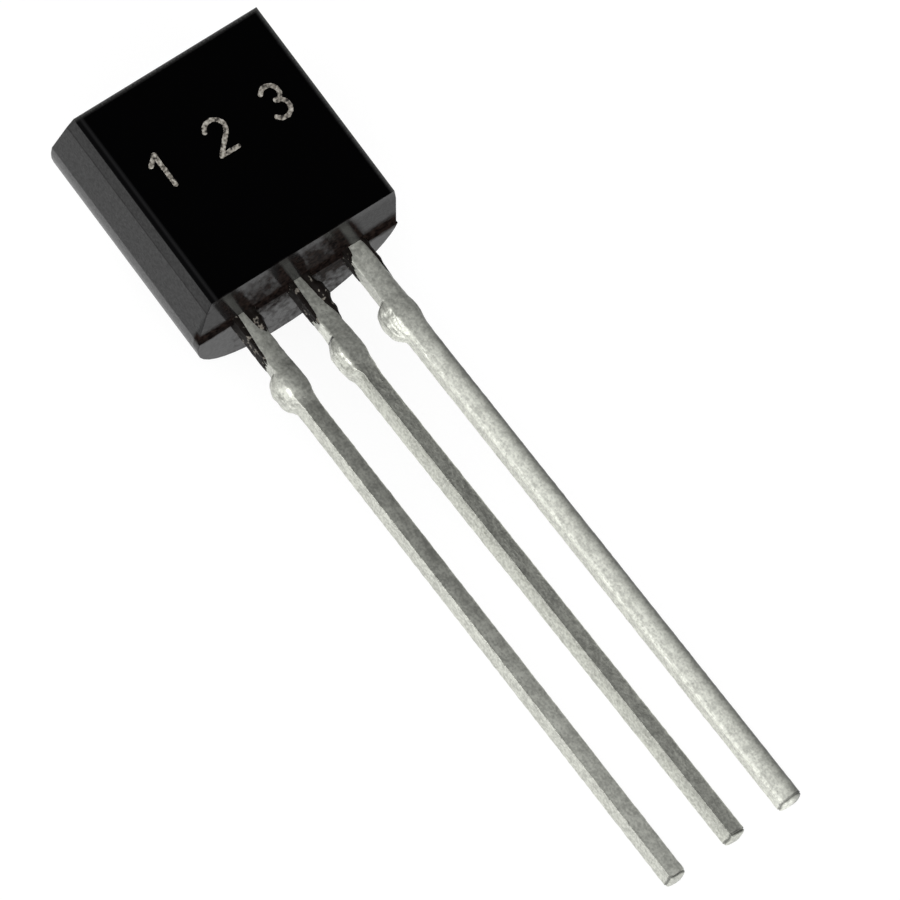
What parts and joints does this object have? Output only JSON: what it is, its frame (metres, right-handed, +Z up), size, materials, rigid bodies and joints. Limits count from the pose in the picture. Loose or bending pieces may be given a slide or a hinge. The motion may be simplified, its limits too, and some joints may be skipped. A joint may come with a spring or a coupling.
{
  "type": "TO-92 transistor",
  "caption": "Through-hole small-signal transistor in a D-shaped black epoxy case with a flat face and a round back, with straight tinned leads out of one end.",
  "frame": {"origin": "bottom centre of the bounding box, on the surface that the part lies on", "axes": "+Z up, +Y along the leads towards the top of the case, +X from the emitter lead towards the collector lead; the flat faces up and the round back down"},
  "size_m": [0.0044, 0.0174, 0.0041],
  "materials": {
    "case": "satin moulded epoxy, with flux stains round the leads",
    "emitter_lead": "dull solder-dipped tin",
    "base_lead": "dull solder-dipped tin",
    "collector_lead": "dull solder-dipped tin",
    "die_attach": "solder",
    "die": "polished silicon",
    "emitter_wire": "drawn gold",
    "base_wire": "drawn gold"
  },
  "bodies": {
    "root": {"case": "case", "emitter_lead": "emitter_lead", "base_lead": "base_lead", "collector_lead": "collector_lead", "die_attach": "die_attach", "die": "die", "emitter_wire": "emitter_wire", "base_wire": "base_wire"}
  },
  "joints": []
}
